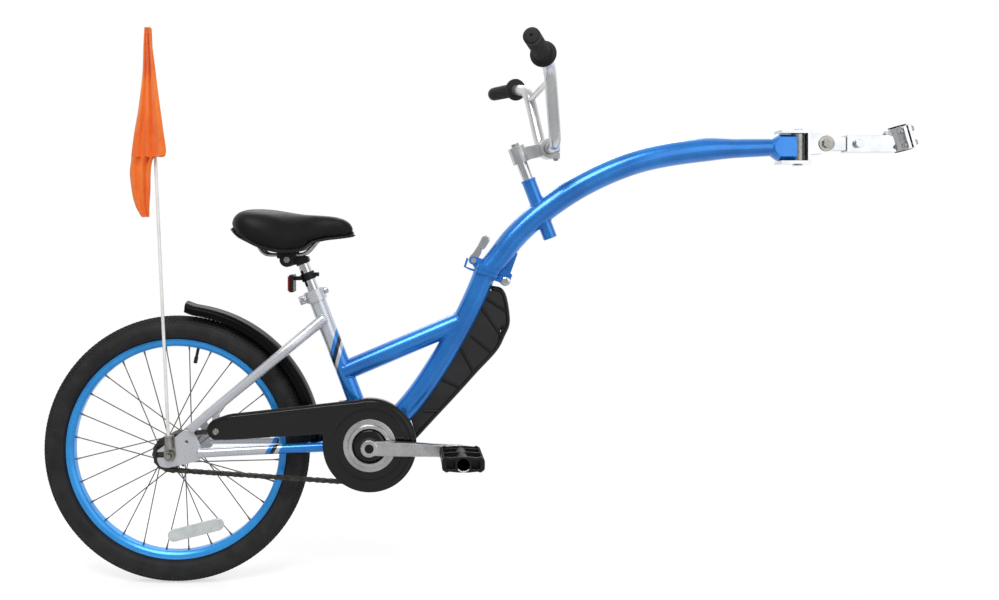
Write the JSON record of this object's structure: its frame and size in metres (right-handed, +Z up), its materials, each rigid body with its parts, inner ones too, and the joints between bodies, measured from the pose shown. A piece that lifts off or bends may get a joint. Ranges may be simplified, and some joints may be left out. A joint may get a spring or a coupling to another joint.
{
  "type": "trailer bike",
  "caption": "Child's trailer bike with a curved front beam, folding joint, seat post hitch, crank and chain drive, handlebar, saddle, fender and safety flag.",
  "frame": {"origin": "centre of the bore that clamps on the adult bike seat post", "axes": "+X forward towards the adult bike, +Y to the left, +Z up; the chain is on the right, at -Y"},
  "size_m": [1.6602, 0.6068, 1.0423],
  "materials": {
    "blue_paint": "metallic gloss",
    "silver_paint": "metallic gloss",
    "rim_blue": "satin anodised",
    "chrome": "polished",
    "alloy": "brushed",
    "dark_steel": "oiled",
    "black_plastic": "moulded satin",
    "gloss_black": "moulded gloss",
    "rubber": "matt",
    "tyre": "matt",
    "saddle_vinyl": "fine grain",
    "orange_cloth": "woven, fluorescent",
    "white_rod": "smooth glass fibre",
    "red_lens": "prismatic lens",
    "clear_lens": "prismatic lens"
  },
  "bodies": {
    "clamp": {"receiver": "chrome", "front_jaw": "chrome", "clamp_liner": "rubber", "clamp_bolt_right_upper": "alloy", "clamp_bolt_right_lower": "alloy", "clamp_bolt_left_upper": "alloy", "clamp_bolt_left_lower": "alloy", "tongue": "chrome"},
    "coupling_pin": {"coupling_pin": "chrome"},
    "yoke": {"yoke": "chrome", "yaw_pin": "alloy", "pitch_bolt": "chrome"},
    "beam": {"front_beam": "blue_paint", "fold_pin": "chrome", "latch_pin": "chrome"},
    "latch": {"latch_lever": "chrome"},
    "stem": {"stem": "alloy", "stem_bolt": "chrome"},
    "handlebar": {"handlebar": "silver_paint", "left_grip": "rubber", "right_grip": "rubber"},
    "frame": {"main_frame": "blue_paint", "latch_catch": "chrome", "seat_collar": "silver_paint", "collar_bolt": "chrome", "splash_guard": "black_plastic", "chain_guard": "gloss_black", "guard_ring": "chrome", "fender": "black_plastic", "left_bb_cup": "dark_steel", "right_bb_cup": "dark_steel", "rear_axle": "dark_steel", "left_axle_nut": "chrome", "right_axle_nut": "chrome", "flag_bracket": "chrome", "flag_pole": "white_rod", "flag": "orange_cloth", "chain": "dark_steel"},
    "crank": {"spindle": "dark_steel", "chainring": "dark_steel", "crank_cap": "gloss_black", "right_crank": "alloy", "left_crank": "alloy", "right_pedal_axle": "dark_steel", "left_pedal_axle": "dark_steel"},
    "right_pedal": {"right_pedal": "black_plastic"},
    "left_pedal": {"left_pedal": "black_plastic"},
    "sprocket": {"sprocket": "dark_steel"},
    "wheel": {"tyre": "tyre", "rim": "rim_blue", "hub_and_spokes": "dark_steel", "valve": "rubber", "spoke_reflector": "clear_lens"},
    "seat_post": {"seat_post": "silver_paint", "reflector_bracket": "black_plastic", "reflector_lens": "red_lens", "saddle_band": "black_plastic"},
    "saddle": {"saddle": "saddle_vinyl", "saddle_rails": "dark_steel", "saddle_clamp": "black_plastic"}
  },
  "joints": [
    {"name": "hitch_pitch", "type": "hinge", "parent": "clamp", "child": "yoke", "pos_m": [-0.1477, 0, -0.0111], "axis": [0, 1, 0], "range_deg": [-40, 40]},
    {"name": "hitch_yaw", "type": "hinge", "parent": "yoke", "child": "beam", "pos_m": [-0.1967, 0, -0.0174], "axis": [0, 0, 1], "range_deg": [-60, 60]},
    {"name": "coupling_pin_slide", "type": "slide", "parent": "clamp", "child": "coupling_pin", "axis": [0, -1, 0], "range_m": [0, 0.045]},
    {"name": "beam_fold", "type": "hinge", "parent": "beam", "child": "frame", "pos_m": [-0.7558, 0, -0.2723], "axis": [0, -1, 0], "range_deg": [0, 120]},
    {"name": "latch_lever_turn", "type": "hinge", "parent": "beam", "child": "latch", "pos_m": [-0.81644, 0, -0.23292], "axis": [0, -1, 0], "range_deg": [0, 90]},
    {"name": "stem_height", "type": "slide", "parent": "beam", "child": "stem", "axis": [-0.3551, 0, 0.9348], "range_m": [-0.008, 0.045]},
    {"name": "bar_tilt", "type": "hinge", "parent": "stem", "child": "handlebar", "pos_m": [-0.6721, 0, -0.0201], "axis": [0, 1, 0], "range_deg": [-25, 25]},
    {"name": "seat_height", "type": "slide", "parent": "frame", "child": "seat_post", "axis": [-0.3584, 0, 0.9336], "range_m": [0, 0.075]},
    {"name": "saddle_tilt", "type": "hinge", "parent": "seat_post", "child": "saddle", "pos_m": [-1.16948, 0, -0.23108], "axis": [0, 1, 0], "range_deg": [-15, 15]},
    {"name": "crank_spin", "type": "hinge", "parent": "frame", "child": "crank", "pos_m": [-1.01206, 0, -0.5741], "axis": [0, 1, 0], "continuous": true, "deforming": ["chain"]},
    {"name": "right_pedal_spin", "type": "hinge", "parent": "crank", "child": "right_pedal", "pos_m": [-0.84714, 0, -0.57928], "axis": [0, 1, 0], "continuous": true},
    {"name": "left_pedal_spin", "type": "hinge", "parent": "crank", "child": "left_pedal", "pos_m": [-1.17698, 0, -0.56892], "axis": [0, 1, 0], "continuous": true},
    {"name": "sprocket_spin", "type": "hinge", "parent": "frame", "child": "sprocket", "pos_m": [-1.3807, 0, -0.5911], "axis": [0, 1, 0], "continuous": true},
    {"name": "wheel_spin", "type": "hinge", "parent": "frame", "child": "wheel", "pos_m": [-1.3807, 0, -0.5911], "axis": [0, 1, 0], "continuous": true}
  ],
  "couplings": [
    {"joint": "sprocket_spin", "follows": "crank_spin", "ratio": 2.4}
  ]
}
